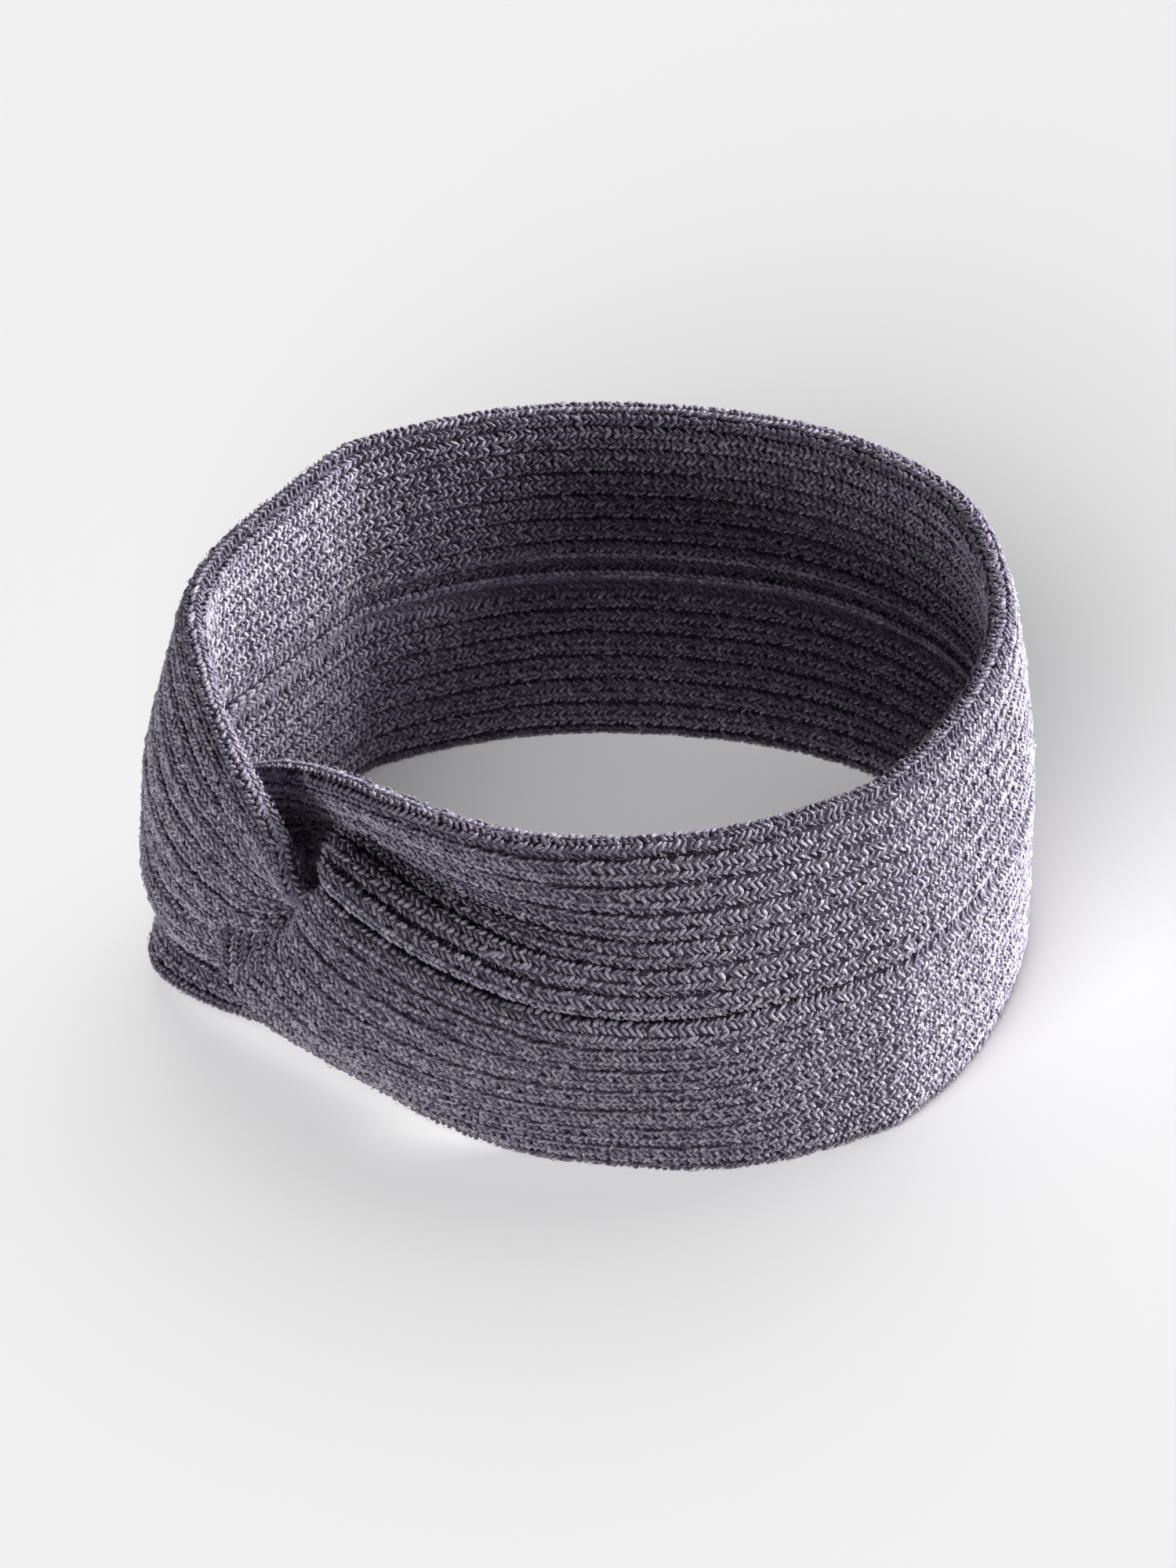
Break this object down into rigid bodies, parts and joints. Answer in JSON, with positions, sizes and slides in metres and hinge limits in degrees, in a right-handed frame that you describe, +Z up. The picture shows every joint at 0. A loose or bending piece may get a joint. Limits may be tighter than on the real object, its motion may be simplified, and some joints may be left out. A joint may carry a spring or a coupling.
{
  "type": "ear warmer headband",
  "caption": "Rib-knit ear warmer headband: a double-layer ring standing on its edge, with a twisted crossover knot at the front and a seam valley with a linking chain inside.",
  "frame": {"origin": "on the floor under the middle of the whole ring", "axes": "+Z up through the ring as it stands on its lower edge, -Y towards the front as seen in the picture, +X to its right; the knot is at the front left"},
  "size_m": [0.1886, 0.1586, 0.088],
  "materials": {
    "knit": "soft heathered mauve-grey yarn, matt",
    "chain_yarn": "the same yarn, pulled tight, matt"
  },
  "bodies": {
    "root": {"band": "knit", "seam_chain": "chain_yarn", "end_seam": "chain_yarn"}
  },
  "joints": []
}
